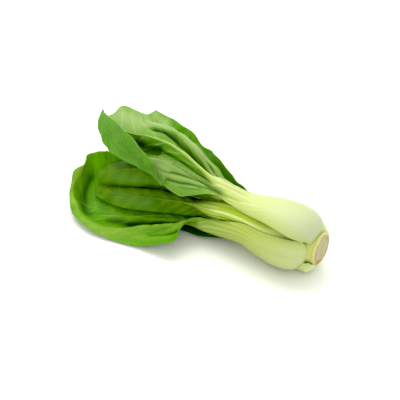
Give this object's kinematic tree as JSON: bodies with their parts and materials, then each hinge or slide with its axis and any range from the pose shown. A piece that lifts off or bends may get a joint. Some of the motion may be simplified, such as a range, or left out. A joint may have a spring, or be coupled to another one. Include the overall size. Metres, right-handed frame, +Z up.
{
  "type": "baby bok choy",
  "caption": "Small pale-stalked leafy vegetable lying on its side: a swollen bulb of lapped stalks with a cut stem end, and loose dark green leaves.",
  "frame": {"origin": "centre of the bounding box on the surface the head lies on", "axes": "+X along the head towards the cut stem end, leaves towards -X; +Z up; +Y to the left of +X"},
  "size_m": [0.201, 0.1086, 0.0686],
  "materials": {
    "cut_stem": "matt cut face",
    "outer_stalk": "smooth waxy skin",
    "inner_stalk": "smooth waxy skin",
    "top_blade": "matt veined underside",
    "outer_blade": "glossy veined upper side",
    "inner_blade": "satin veined leaf"
  },
  "bodies": {
    "root": {"butt": "cut_stem", "stalk_top": "outer_stalk", "blade_top": "top_blade", "stalk_front": "outer_stalk", "blade_front": "outer_blade", "stalk_rear": "outer_stalk", "blade_rear": "outer_blade", "stalk_under": "outer_stalk", "blade_under": "outer_blade", "stalk_inner_front": "inner_stalk", "blade_inner_front": "inner_blade", "stalk_inner_top": "inner_stalk", "blade_inner_top": "inner_blade", "stalk_inner_rear": "inner_stalk", "blade_inner_rear": "inner_blade", "stalk_heart_upper": "inner_stalk", "blade_heart_upper": "inner_blade", "stalk_heart_lower": "inner_stalk", "blade_heart_lower": "inner_blade"}
  },
  "joints": []
}
